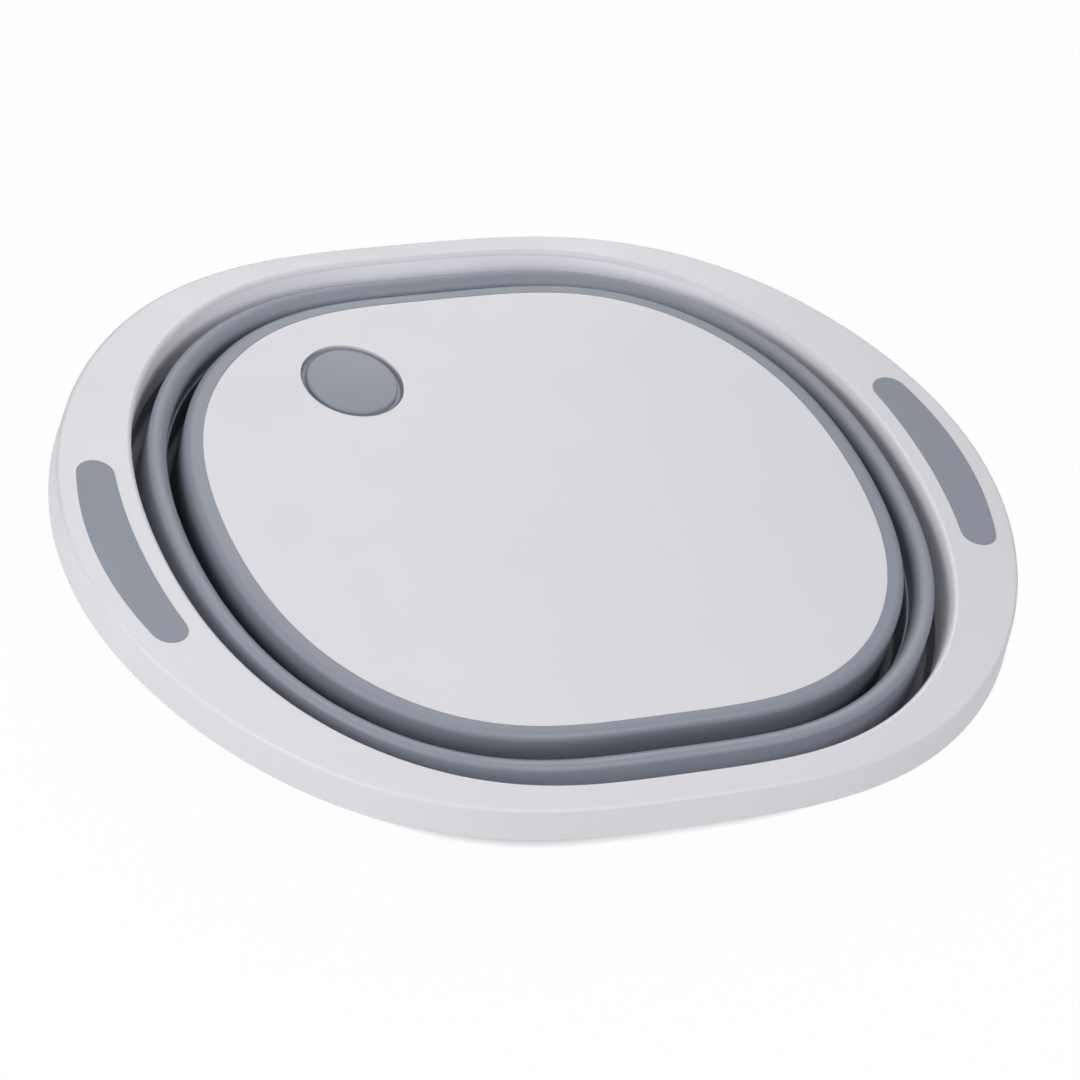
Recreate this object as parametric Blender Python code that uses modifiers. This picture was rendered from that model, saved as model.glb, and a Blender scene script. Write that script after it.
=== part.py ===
"""Collapsible washing bowl, folded flat, with a chopping-board base and a drain plug.

Metres, +Z up. The bowl stands folded on the table: the bottoms of its two folds lie at
height zero, the origin is under the middle of the board, and +X runs to the right grip.
The flexible wall is one moulding in the real bowl. Here it is split along its fold lines,
so that each stiff band moves by itself and each soft membrane turns over between two bands.
"""

import math

import bmesh
import bpy
from mathutils import Matrix, Vector

# Outlines, seen from above
OPENING_LENGTH = 0.3182
OPENING_WIDTH = 0.2874
END_FLANGE = 0.0336
SIDE_FLANGE = 0.0120
SKIRT_END_SPREAD = 0.0004
SKIRT_SIDE_SPREAD = 0.0028
OPENING_SHARES = (-0.0309, 0.0030, -0.0020)
RIM_SHARES = (-0.0165, 0.0051, 0.0006)

# Rim frame
RIM_HEIGHT = 0.0320
END_DROP = 0.0002
SIDE_DROP = 0.0018
FLANGE_THICKNESS = 0.0024
SKIRT_DEPTH = 0.0145
SKIRT_THICKNESS = 0.0020
EDGE_RADIUS = 0.0016
LIP_RADIUS = 0.0023
WALL_DEPTH = 0.0220
WALL_LEAN = 0.0011
WALL_THICKNESS = 0.0020
RIB_THICKNESS = 0.0016
RIB_DEPTH = 0.0090
RIB_SPACING = 0.0220
RIB_SINK = 0.0006

# Grips let into the two wide ends of the rim
GRIP_SPAN = 0.0845
GRIP_INNER_MARGIN = 0.0082
GRIP_OUTER_MARGIN = 0.0077
GRIP_DEPTH = 0.0012
GRIP_PROUD = 0.0002
GRIP_EDGE_RADIUS = 0.0004

# Flexible wall: two folds side by side between the rim wall and the board
SHEET_THICKNESS = 0.0015
SLEEVE_HEIGHT = 0.0095
LEG_STEP = 0.0011
OUTER_FOLD_WIDTH = 0.0057
INNER_FOLD_WIDTH = 0.0036
FOLD_RADIUS = 0.0011
OUTER_LEG_LEAN = 0.0006
INNER_LEG_LEAN = 0.0004
CREST_WIDTH = 0.0078
CREST_THICKNESS = 0.0024
CREST_OUTER_RADIUS = 0.0020
CREST_INNER_RADIUS = 0.0052
CREST_DROP = 0.0014
CREST_END_SHIFT = 0.0022
LEDGE_DEPTH = 0.0120
LEDGE_WIDTH = 0.0010
SHOULDER_END_SHIFT = 0.0019

# Base: the board and the soft ring moulded round its edge
BOARD_RISE = 0.0021
BOARD_THICKNESS = 0.0028
BOARD_EDGE_RADIUS = 0.0003
BASE_BAND = 0.0055
SHOULDER_RADIUS = 0.0030
RING_LEG = 0.0026
RING_LIP = 0.0020
RING_FOOT = 0.0016
RING_FOOT_WIDTH = 0.0022
BASE_WALL_DEPTH = 0.0090
BASE_WALL_THICKNESS = 0.0022
BASE_RIB_DEPTH = 0.0050
BASE_RIB_THICKNESS = 0.0016
BASE_RIB_SPACING = 0.0480

# Drain and its plug
DRAIN_LENGTH_SHARE = -0.3344
DRAIN_WIDTH_SHARE = 0.5247
PLUG_RADIUS = 0.0202
PLUG_CLEARANCE = 0.0003
PLUG_DISC_RADIUS = 0.0176
PLUG_DISC_PROUD = 0.0001
PLUG_DOME = 0.0009
PLUG_GROOVE_DEPTH = 0.0016
PLUG_RIM_DROP = 0.0003
PLUG_FLANGE_THICKNESS = 0.0017
PLUG_EDGE_RADIUS = 0.0009
STEM_RADIUS = 0.0159
STEM_TAPER = 0.0007
STEM_DEPTH = 0.0046
STEM_WALL = 0.0020
DRAIN_SEAT = 0.0020
COLLAR_THICKNESS = 0.0024
COLLAR_DEPTH = 0.0082

# Shared small sizes
GAP = 0.0003
OVERRUN = 0.0050
WELD = 0.00001

# Counts
OUTLINE_STEPS = 60
CORNER_STEPS = 3
CAP_STEPS = 6
TURN_STEPS = 36
GRIP_STEPS = 8
RIBS_PER_END = 5

# Heights that follow from the sizes above
CREST_HEIGHT = RIM_HEIGHT - CREST_DROP
BOARD_HEIGHT = RIM_HEIGHT + BOARD_RISE
WALL_BOTTOM = RIM_HEIGHT - WALL_DEPTH
DRAIN_PLACE = Vector((OPENING_LENGTH / 2 * DRAIN_LENGTH_SHARE, OPENING_WIDTH / 2 * DRAIN_WIDTH_SHARE))
LEDGE_HEIGHT = RIM_HEIGHT - LEDGE_DEPTH
FOLD_CENTRE_HEIGHT = SHEET_THICKNESS + FOLD_RADIUS

# Distances inward from the opening's edge to the faces of the flexible wall
OUTER_LEG = WALL_LEAN + LEG_STEP
OUTER_RISE = OUTER_LEG + OUTER_FOLD_WIDTH
OUTER_FOLD_MIDDLE = OUTER_LEG + OUTER_FOLD_WIDTH / 2
CREST_OUTER = OUTER_RISE + OUTER_LEG_LEAN
CREST_INNER = CREST_OUTER + CREST_WIDTH
INNER_LEG = CREST_INNER + LEDGE_WIDTH
INNER_RISE = INNER_LEG + INNER_FOLD_WIDTH
INNER_FOLD_MIDDLE = INNER_LEG + INNER_FOLD_WIDTH / 2
SHOULDER_OUTER = INNER_RISE + INNER_LEG_LEAN
SHOULDER_SPLIT = SHOULDER_OUTER + SHOULDER_RADIUS
BOARD_EDGE = SHOULDER_OUTER + BASE_BAND

# How far each face shifts outward at the two ends, from the rim's wall to the board's edge
END_SHIFTS = (
    (OUTER_LEG, 0.0),
    (OUTER_RISE, CREST_END_SHIFT),
    (INNER_LEG, CREST_END_SHIFT),
    (INNER_RISE, SHOULDER_END_SHIFT),
    (SHOULDER_SPLIT, SHOULDER_END_SHIFT),
    (BOARD_EDGE, 0.0),
)

WHITE_PLASTIC = (0.66, 0.66, 0.68, 1.0)
GREY_RUBBER = (0.27, 0.30, 0.34, 1.0)


# Outlines

def outline_radius(angle, half_length, half_width, shares):
    """Distance from the middle to a rounded oval: its mean, its length and its corners."""
    mean = (half_length + half_width) / 2
    squareness, taper, corner = (mean * share for share in shares)
    round_part = mean - squareness - corner
    long_part = (half_length - half_width) / 2 - taper
    return (
        round_part
        + long_part * math.cos(2 * angle)
        + squareness * math.cos(4 * angle)
        + taper * math.cos(6 * angle)
        + corner * math.cos(8 * angle)
    )


def outline_point(angle, outline, inset=0.0):
    """A point of an outline, moved inward at right angles to it."""
    half_length, half_width, shares = outline
    tiny = math.radians(0.01)
    radii = [outline_radius(angle + side, half_length, half_width, shares) for side in (-tiny, 0.0, tiny)]
    before, here, after = (
        Vector((radius * math.cos(angle + side), radius * math.sin(angle + side)))
        for radius, side in zip(radii, (-tiny, 0.0, tiny))
    )
    along = (after - before).normalized()
    inward = Vector((-along.y, along.x))
    return here + inward * inset


def outline_angles():
    return [2 * math.pi * step / OUTLINE_STEPS for step in range(OUTLINE_STEPS)]


def outline_loop(outline, inset=0.0):
    """The points all the way round an outline."""
    return [outline_point(angle, outline, inset) for angle in outline_angles()]


def end_share(angle):
    """One at the two ends of the oval, zero at the middles of its sides."""
    return (1 + math.cos(2 * angle)) / 2


def end_shift(inset):
    """How far a face of the flexible wall or the base lies further outward at the ends."""
    if inset <= END_SHIFTS[0][0]:
        return END_SHIFTS[0][1]
    for (start, low), (finish, high) in zip(END_SHIFTS, END_SHIFTS[1:]):
        if inset <= finish:
            return low + (high - low) * (inset - start) / (finish - start)
    return END_SHIFTS[-1][1]


def wall_loop(inset):
    """The points round a face of the flexible wall or the base."""
    shift = end_shift(inset)
    return [outline_point(angle, OPENING, inset - shift * end_share(angle)) for angle in outline_angles()]


def edge_heights(depth):
    """Heights round the rim's outer edge, which falls away more at the sides than at the ends."""
    heights = []
    for angle in outline_angles():
        share = end_share(angle)
        heights.append(RIM_HEIGHT - END_DROP * share - SIDE_DROP * (1 - share) - depth)
    return heights


OPENING = (OPENING_LENGTH / 2, OPENING_WIDTH / 2, OPENING_SHARES)
RIM = (OPENING_LENGTH / 2 + END_FLANGE, OPENING_WIDTH / 2 + SIDE_FLANGE, RIM_SHARES)
SKIRT = (RIM[0] + SKIRT_END_SPREAD, RIM[1] + SKIRT_SIDE_SPREAD, RIM_SHARES)


# Scene, collections and materials

def clear_scene():
    for thing in list(bpy.data.objects):
        bpy.data.objects.remove(thing, do_unlink=True)


def new_collection(name):
    collection = bpy.data.collections.new(name)
    bpy.context.scene.collection.children.link(collection)
    return collection


def new_material(name, colour, roughness):
    material = bpy.data.materials.new(name)
    material.use_nodes = True
    shader = material.node_tree.nodes["Principled BSDF"]
    shader.inputs["Base Color"].default_value = colour
    shader.inputs["Roughness"].default_value = roughness
    shader.inputs["Metallic"].default_value = 0.0
    material.diffuse_color = colour
    return material


# Making and joining meshes

def new_object(name, mesh, collection):
    thing = bpy.data.objects.new(name, mesh)
    collection.objects.link(thing)
    return thing


def mark_as_cutter(thing):
    thing.hide_render = True
    thing.display_type = "WIRE"


def loft(name, rings, collection, capped=False):
    """A solid through rings of points. It closes on itself, or is capped at both ends.

    Each ring has one height, or a list with the height of each point.
    """
    work = bmesh.new()
    loops = []
    for ring, height in rings:
        heights = height if isinstance(height, list) else [height] * len(ring)
        loops.append([work.verts.new((point.x, point.y, up)) for point, up in zip(ring, heights)])
    pairs = list(zip(loops, loops[1:]))
    if not capped:
        pairs.append((loops[-1], loops[0]))
    for lower, upper in pairs:
        for index in range(len(lower)):
            following = (index + 1) % len(lower)
            work.faces.new((lower[index], lower[following], upper[following], upper[index]))
    if capped:
        work.faces.new(loops[0])
        work.faces.new(loops[-1])
    bmesh.ops.recalc_face_normals(work, faces=work.faces)
    mesh = bpy.data.meshes.new(name)
    work.to_mesh(mesh)
    work.free()
    return new_object(name, mesh, collection)


def closed_curve(name, points, collection):
    curve = bpy.data.curves.new(name, "CURVE")
    curve.dimensions = "2D"
    spline = curve.splines.new("POLY")
    spline.points.add(len(points) - 1)
    for target, (across, up) in zip(spline.points, points):
        target.co = (across, up, 0.0, 1.0)
    spline.use_cyclic_u = True
    return new_object(name, curve, collection)


def curve_to_mesh(thing, name, collection):
    """Replaces a curve object by a mesh with its seams welded."""
    bpy.context.view_layer.update()
    evaluated = thing.evaluated_get(bpy.context.evaluated_depsgraph_get())
    mesh = bpy.data.meshes.new_from_object(evaluated)
    mesh.name = name
    work = bmesh.new()
    work.from_mesh(mesh)
    bmesh.ops.remove_doubles(work, verts=work.verts, dist=WELD)
    bmesh.ops.recalc_face_normals(work, faces=work.faces)
    work.to_mesh(mesh)
    work.free()
    solid = new_object(name, mesh, collection)
    solid.matrix_world = thing.matrix_world
    bpy.data.objects.remove(thing, do_unlink=True)
    solid.name = name
    return solid


def band(name, section, collection):
    """A section of (distance inward from the opening's edge, height), run round the wall."""
    return loft(name, [(wall_loop(inset), height) for inset, height in section], collection)


def plate(name, points, thickness, collection):
    """A flat outline with its middle plane at height zero of the object."""
    flat = closed_curve(name + "_outline", points, collection)
    flat.data.fill_mode = "BOTH"
    flat.data.extrude = thickness / 2
    return curve_to_mesh(flat, name, collection)


def box(name, length, width, height, collection):
    bpy.ops.mesh.primitive_cube_add(size=1.0)
    solid = bpy.context.object
    solid.name = name
    solid.data.name = name
    solid.data.transform(Matrix.Diagonal((length, width, height, 1.0)))
    for owner in list(solid.users_collection):
        owner.objects.unlink(solid)
    collection.objects.link(solid)
    return solid


def cylinder(name, radius, low, high, place, collection):
    mesh = bpy.data.meshes.new(name)
    work = bmesh.new()
    bmesh.ops.create_cone(
        work, cap_ends=True, segments=TURN_STEPS, radius1=radius, radius2=radius, depth=high - low
    )
    work.to_mesh(mesh)
    work.free()
    solid = new_object(name, mesh, collection)
    solid.location = (place.x, place.y, (low + high) / 2)
    return solid


def boolean(target, tool, operation):
    """Adds, cuts or intersects, and applies the result to the target's mesh."""
    modifier = target.modifiers.new(operation.lower(), "BOOLEAN")
    modifier.operation = operation
    modifier.solver = "EXACT"
    modifier.object = tool
    bpy.context.view_layer.update()
    evaluated = target.evaluated_get(bpy.context.evaluated_depsgraph_get())
    mesh = bpy.data.meshes.new_from_object(evaluated)
    mesh.name = target.data.name
    target.modifiers.clear()
    target.data = mesh
    mark_as_cutter(tool)


def round_edges(thing, width, steps=2):
    modifier = thing.modifiers.new("edges", "BEVEL")
    modifier.width = width
    modifier.segments = steps
    modifier.limit_method = "ANGLE"
    modifier.angle_limit = math.radians(50)


def finish(thing, material):
    thing.data.materials.clear()
    thing.data.materials.append(material)
    thing.data.shade_smooth()
    thing.data.set_sharp_from_angle(angle=math.radians(40))


# Sections

def arc(centre, radius, start, end, steps=CORNER_STEPS):
    """Points of an arc, angles in degrees from the inward direction towards up."""
    points = []
    for step in range(steps + 1):
        angle = math.radians(start + (end - start) * step / steps)
        points.append((centre[0] + radius * math.cos(angle), centre[1] + radius * math.sin(angle)))
    return points


def wall_face(height):
    """How far the inner face of the rim's wall leans inward at a height."""
    return WALL_LEAN * (RIM_HEIGHT - height) / WALL_DEPTH


def upper_band_section():
    """Sleeve round the rim's wall, then down to the middle of the outer fold."""
    seat = WALL_BOTTOM - GAP
    sleeve_top = WALL_BOTTOM + SLEEVE_HEIGHT
    back = WALL_THICKNESS + GAP
    centre = (OUTER_LEG + FOLD_RADIUS, FOLD_CENTRE_HEIGHT)
    end = OUTER_FOLD_MIDDLE - GAP / 2
    return (
        [(WALL_LEAN, seat)]
        + arc(centre, FOLD_RADIUS, 180, 270, 2)
        + [(end, SHEET_THICKNESS), (end, 0.0)]
        + arc(centre, FOLD_RADIUS + SHEET_THICKNESS, 270, 180)
        + [
            (WALL_LEAN - back - SHEET_THICKNESS, seat),
            (wall_face(sleeve_top) - back - SHEET_THICKNESS, sleeve_top),
            (wall_face(sleeve_top) - back, sleeve_top),
            (WALL_LEAN - back, seat),
        ]
    )


def outer_membrane_section():
    """From the middle of the outer fold up to the top of the crest."""
    low = (OUTER_RISE - FOLD_RADIUS, FOLD_CENTRE_HEIGHT)
    high = (CREST_OUTER + CREST_OUTER_RADIUS, CREST_HEIGHT - CREST_OUTER_RADIUS)
    start = OUTER_FOLD_MIDDLE + GAP / 2
    end = CREST_OUTER + CREST_OUTER_RADIUS
    return (
        [(start, 0.0), (start, SHEET_THICKNESS)]
        + arc(low, FOLD_RADIUS, 270, 360, 2)
        + arc(high, CREST_OUTER_RADIUS, 180, 90)
        + [(end, CREST_HEIGHT - SHEET_THICKNESS)]
        + arc(high, CREST_OUTER_RADIUS - SHEET_THICKNESS, 135, 180, 1)
        + arc(low, FOLD_RADIUS + SHEET_THICKNESS, 360, 270)
    )


def middle_band_section():
    """The crest, its ledge, then down to the middle of the inner fold."""
    crest = (CREST_INNER - CREST_INNER_RADIUS, CREST_HEIGHT - CREST_INNER_RADIUS)
    low = (INNER_LEG + FOLD_RADIUS, FOLD_CENTRE_HEIGHT)
    start = CREST_OUTER + CREST_OUTER_RADIUS + GAP
    end = INNER_FOLD_MIDDLE - GAP / 2
    return (
        [(start, CREST_HEIGHT)]
        + arc(crest, CREST_INNER_RADIUS, 90, 0)
        + [
            (CREST_INNER, LEDGE_HEIGHT),
            (INNER_LEG, LEDGE_HEIGHT),
        ]
        + arc(low, FOLD_RADIUS, 180, 270, 2)
        + [(end, SHEET_THICKNESS), (end, 0.0)]
        + arc(low, FOLD_RADIUS + SHEET_THICKNESS, 270, 180)
        + [
            (INNER_LEG - SHEET_THICKNESS, LEDGE_HEIGHT - CREST_THICKNESS),
            (CREST_INNER - CREST_THICKNESS, LEDGE_HEIGHT - SHEET_THICKNESS),
        ]
        + arc(crest, CREST_INNER_RADIUS - CREST_THICKNESS, 0, 90, 2)
        + [(start, CREST_HEIGHT - CREST_THICKNESS)]
    )


def inner_membrane_section():
    """From the middle of the inner fold up to the shoulder beside the board."""
    low = (INNER_RISE - FOLD_RADIUS, FOLD_CENTRE_HEIGHT)
    high = (SHOULDER_SPLIT, BOARD_HEIGHT - SHOULDER_RADIUS)
    start = INNER_FOLD_MIDDLE + GAP / 2
    return (
        [(start, 0.0), (start, SHEET_THICKNESS)]
        + arc(low, FOLD_RADIUS, 270, 360, 2)
        + arc(high, SHOULDER_RADIUS, 180, 90)
        + arc(high, SHOULDER_RADIUS - SHEET_THICKNESS, 90, 180, 2)
        + arc(low, FOLD_RADIUS + SHEET_THICKNESS, 360, 270)
    )


def edge_ring_section():
    """Soft ring that wraps the base wall: lip on top, leg outside, foot below."""
    leg_radius = SHOULDER_RADIUS - SHEET_THICKNESS - GAP
    high = (SHOULDER_SPLIT, BOARD_HEIGHT - SHOULDER_RADIUS)
    leg_outer = SHOULDER_SPLIT - leg_radius
    leg_inner = leg_outer + RING_LEG
    lip_outer = SHOULDER_SPLIT + GAP
    lip_inner = BOARD_EDGE - GAP
    lip_under = BOARD_HEIGHT - RING_LIP
    foot_top = lip_under - GAP - BASE_WALL_DEPTH
    foot_inner = leg_inner + RING_FOOT_WIDTH
    return (
        [(leg_outer, foot_top - RING_FOOT)]
        + arc(high, leg_radius, 180, 90, 2)
        + [
            (lip_outer, BOARD_HEIGHT - SHOULDER_RADIUS + leg_radius),
            (lip_outer, BOARD_HEIGHT),
            (lip_inner, BOARD_HEIGHT),
            (lip_inner, lip_under),
            (leg_inner, lip_under),
            (leg_inner, foot_top),
            (foot_inner, foot_top),
            (foot_inner, foot_top - RING_FOOT),
        ]
    )


# Pieces

def grip_outline(growth):
    """A bent stadium between the opening and the rim's outer edge, grown all round."""
    inner = growth - GRIP_INNER_MARGIN
    outer = GRIP_OUTER_MARGIN - growth
    reach = (OPENING[0] + GRIP_INNER_MARGIN + RIM[0] - GRIP_OUTER_MARGIN) / 2
    half_angle = math.asin(GRIP_SPAN / 2 / reach)
    angles = [half_angle * (2 * step / GRIP_STEPS - 1) for step in range(GRIP_STEPS + 1)]
    points = [outline_point(angle, RIM, outer) for angle in angles]
    points += round_end(points[-1], outline_point(half_angle, OPENING, inner))
    points += [outline_point(angle, OPENING, inner) for angle in reversed(angles)]
    points += round_end(points[-1], points[0])
    return points


def round_end(start, finish):
    """Points of a half circle between two points, turning to the left."""
    centre = (start + finish) / 2
    points = []
    for step in range(1, CAP_STEPS):
        turned = start - centre
        turned.rotate(Matrix.Rotation(math.pi * step / CAP_STEPS, 2))
        points.append(centre + turned)
    return points


def grip_slab(name, growth, thickness, top_above_flange, side, collection):
    """A grip's plate on the sloping top of the rim, at its right or left end."""
    slope = math.atan(END_DROP / END_FLANGE)
    pivot = Vector((OPENING_LENGTH / 2, 0.0, RIM_HEIGHT))
    points = [(point.x - pivot.x, point.y) for point in grip_outline(growth)]
    slab = plate(name, points, thickness, collection)
    slab.data.transform(Matrix.Translation((0.0, 0.0, top_above_flange - thickness / 2)))
    slab.data.transform(Matrix.Rotation(slope, 4, "Y"))
    slab.data.transform(Matrix.Translation(pivot))
    if side < 0:
        slab.data.transform(Matrix.Rotation(math.pi, 4, "Z"))
    return slab


def build_rim(parts, tools, material):
    """Flange with a flared skirt outside and a leaning wall inside, open below."""
    top = RIM_HEIGHT
    skirt_bottom = RIM_HEIGHT - SKIRT_DEPTH
    near = 1 - math.sqrt(0.5)
    rings = [
        (outline_loop(OPENING, -LIP_RADIUS), top),
        (outline_loop(OPENING, -LIP_RADIUS * near), top - LIP_RADIUS * near),
        (outline_loop(OPENING), top - LIP_RADIUS),
        (outline_loop(OPENING, WALL_LEAN), WALL_BOTTOM),
        (outline_loop(OPENING, WALL_LEAN - WALL_THICKNESS), WALL_BOTTOM),
        (outline_loop(OPENING, -WALL_THICKNESS), top - FLANGE_THICKNESS),
        (outline_loop(RIM, SKIRT_THICKNESS), edge_heights(FLANGE_THICKNESS)),
        (outline_loop(SKIRT, SKIRT_THICKNESS), skirt_bottom),
        (outline_loop(SKIRT), skirt_bottom),
        (outline_loop(RIM), edge_heights(EDGE_RADIUS)),
        (outline_loop(RIM, EDGE_RADIUS * near), edge_heights(EDGE_RADIUS * near)),
        (outline_loop(RIM, EDGE_RADIUS), edge_heights(0.0)),
    ]
    rim = loft("rim_frame", rings, parts)
    for side in (-1, 1):
        for index in range(RIBS_PER_END):
            boolean(rim, rim_rib(side, index, tools), "UNION")
        growth = GAP
        thickness = GRIP_DEPTH + OVERRUN
        pocket = grip_slab("grip_pocket", growth, thickness, OVERRUN, side, tools)
        boolean(rim, pocket, "DIFFERENCE")
    finish(rim, material)
    return rim


def rim_rib(side, index, tools):
    """A rib under the wide end of the flange, from the rim's wall to the skirt."""
    across = (index - (RIBS_PER_END - 1) / 2) * RIB_SPACING
    angle = math.asin(across / (OPENING_LENGTH / 2))
    inner = outline_point(angle, OPENING, -RIB_SINK)
    outer = outline_point(angle, RIM, SKIRT_THICKNESS / 2)
    along = outer - inner
    top = RIM_HEIGHT - END_DROP - FLANGE_THICKNESS / 2
    bottom = RIM_HEIGHT - FLANGE_THICKNESS - RIB_DEPTH
    rib = box("rim_rib", along.length, RIB_THICKNESS, top - bottom, tools)
    middle = (inner + outer) / 2
    rib.location = (middle.x * side, middle.y, (top + bottom) / 2)
    rib.rotation_euler.z = math.atan2(along.y, along.x * side)
    return rib


def build_grip(name, side, parts, material):
    grip = grip_slab(name, 0.0, GRIP_DEPTH + GRIP_PROUD - GAP, GRIP_PROUD, side, parts)
    round_edges(grip, GRIP_EDGE_RADIUS)
    finish(grip, material)
    return grip


def build_board(parts, tools, material):
    """Plate with a shoulder, a wall and ribs below it, and the drain with its collar."""
    shoulder = BOARD_HEIGHT - RING_LIP - GAP
    wall_outer = SHOULDER_SPLIT - (SHOULDER_RADIUS - SHEET_THICKNESS - GAP) + RING_LEG + GAP
    wall_inner = wall_outer + BASE_WALL_THICKNESS
    wall_bottom = shoulder - BASE_WALL_DEPTH + GAP
    underside = BOARD_HEIGHT - BOARD_THICKNESS
    rings = [
        (wall_loop(BOARD_EDGE + BOARD_EDGE_RADIUS), BOARD_HEIGHT),
        (wall_loop(BOARD_EDGE), BOARD_HEIGHT - BOARD_EDGE_RADIUS),
        (wall_loop(BOARD_EDGE), shoulder),
        (wall_loop(wall_outer), shoulder),
        (wall_loop(wall_outer), wall_bottom),
        (wall_loop(wall_inner), wall_bottom),
        (wall_loop(wall_inner), underside),
    ]
    board = loft("base_board", rings, parts, capped=True)
    boolean(board, board_ribs(wall_inner, underside, tools), "UNION")
    place = DRAIN_PLACE
    seat_radius = PLUG_RADIUS + PLUG_CLEARANCE
    seat_height = BOARD_HEIGHT - PLUG_GROOVE_DEPTH - PLUG_FLANGE_THICKNESS - PLUG_CLEARANCE
    hole_radius = STEM_RADIUS + PLUG_CLEARANCE
    collar_radius = seat_radius + COLLAR_THICKNESS
    collar = cylinder("drain_collar", collar_radius, BOARD_HEIGHT - COLLAR_DEPTH, underside + GAP, place, tools)
    boolean(board, collar, "UNION")
    seat = cylinder("drain_seat", seat_radius, seat_height, BOARD_HEIGHT + OVERRUN, place, tools)
    boolean(board, seat, "DIFFERENCE")
    hole_bottom = BOARD_HEIGHT - COLLAR_DEPTH - OVERRUN
    hole = cylinder("drain_hole", hole_radius, hole_bottom, BOARD_HEIGHT + OVERRUN, place, tools)
    boolean(board, hole, "DIFFERENCE")
    relief_top = seat_height - DRAIN_SEAT
    relief = cylinder("collar_relief", seat_radius, hole_bottom, relief_top, place, tools)
    boolean(board, relief, "DIFFERENCE")
    finish(board, material)
    return board


def board_ribs(wall_inner, underside, tools):
    """A grid of ribs under the board, cut to the inside of its wall."""
    ribs = None
    half_length = OPENING_LENGTH / 2
    half_width = OPENING_WIDTH / 2
    reach = {0: half_length, 1: half_width}
    height = BASE_RIB_DEPTH + GAP
    middle = underside + GAP - height / 2
    for direction in (0, 1):
        count = int(reach[direction] / BASE_RIB_SPACING)
        for index in range(-count, count + 1):
            sizes = [2 * half_length, 2 * half_width]
            sizes[direction] = BASE_RIB_THICKNESS
            rib = box("base_rib", sizes[0], sizes[1], height, tools)
            place = [0.0, 0.0, middle]
            place[direction] = index * BASE_RIB_SPACING
            rib.location = place
            if ribs is None:
                ribs = rib
            else:
                boolean(ribs, rib, "UNION")
    inside = wall_inner - BASE_WALL_THICKNESS / 2
    rings = [
        (wall_loop(inside), underside - OVERRUN - BASE_RIB_DEPTH),
        (wall_loop(inside), underside + OVERRUN),
    ]
    boolean(ribs, loft("rib_field", rings, tools, capped=True), "INTERSECT")
    return ribs


def build_plug(parts, material):
    """Turned plug: a domed disc in a groove, with a hollow stem that fills the drain."""
    groove = -PLUG_GROOVE_DEPTH
    under = groove - PLUG_FLANGE_THICKNESS
    bottom = under - STEM_DEPTH
    roof = under + STEM_WALL / 2
    inner = STEM_RADIUS - STEM_WALL
    dome_inner = PLUG_DISC_RADIUS - PLUG_EDGE_RADIUS
    profile = [(0.0, PLUG_DISC_PROUD + PLUG_DOME)]
    profile += [(dome_inner / 2, PLUG_DISC_PROUD + PLUG_DOME * 3 / 4)]
    profile += arc((dome_inner, PLUG_DISC_PROUD - PLUG_EDGE_RADIUS), PLUG_EDGE_RADIUS, 90, 0, 2)
    profile += [
        (PLUG_DISC_RADIUS, groove),
        (PLUG_RADIUS, -PLUG_RIM_DROP),
        (PLUG_RADIUS, under),
        (STEM_RADIUS, under),
        (STEM_RADIUS - STEM_TAPER, bottom),
        (inner - STEM_TAPER, bottom),
        (inner, roof),
        (0.0, roof),
    ]
    mesh = bpy.data.meshes.new("drain_plug")
    edges = [(index, index + 1) for index in range(len(profile) - 1)]
    mesh.from_pydata([(across, 0.0, up) for across, up in profile], edges, [])
    plug = new_object("drain_plug", mesh, parts)
    plug.location = (DRAIN_PLACE.x, DRAIN_PLACE.y, BOARD_HEIGHT)
    turn = plug.modifiers.new("turn", "SCREW")
    turn.steps = TURN_STEPS
    turn.render_steps = TURN_STEPS
    turn.use_merge_vertices = True
    turn.merge_threshold = WELD
    turn.use_smooth_shade = True
    plug.data.materials.append(material)
    return plug


def build():
    clear_scene()
    parts = new_collection("collapsible_bowl")
    tools = new_collection("cutters")
    white = {
        name: new_material(name, WHITE_PLASTIC, 0.38)
        for name in ("rim_frame", "base_board")
    }
    grey = {
        name: new_material(name, GREY_RUBBER, 0.55)
        for name in (
            "left_grip",
            "right_grip",
            "upper_wall_band",
            "outer_fold_membrane",
            "middle_wall_band",
            "inner_fold_membrane",
            "base_edge_ring",
            "drain_plug",
        )
    }
    build_rim(parts, tools, white["rim_frame"])
    build_grip("left_grip", -1, parts, grey["left_grip"])
    build_grip("right_grip", 1, parts, grey["right_grip"])
    sections = {
        "upper_wall_band": upper_band_section(),
        "outer_fold_membrane": outer_membrane_section(),
        "middle_wall_band": middle_band_section(),
        "inner_fold_membrane": inner_membrane_section(),
        "base_edge_ring": edge_ring_section(),
    }
    for name, section in sections.items():
        finish(band(name, section, parts), grey[name])
    build_board(parts, tools, white["base_board"])
    build_plug(parts, grey["drain_plug"])


build()
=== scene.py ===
"""Looks of the folded washing bowl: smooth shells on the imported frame, light and camera."""

import math

import bmesh
import bpy
import numpy as np
from mathutils import Matrix, Vector


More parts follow.
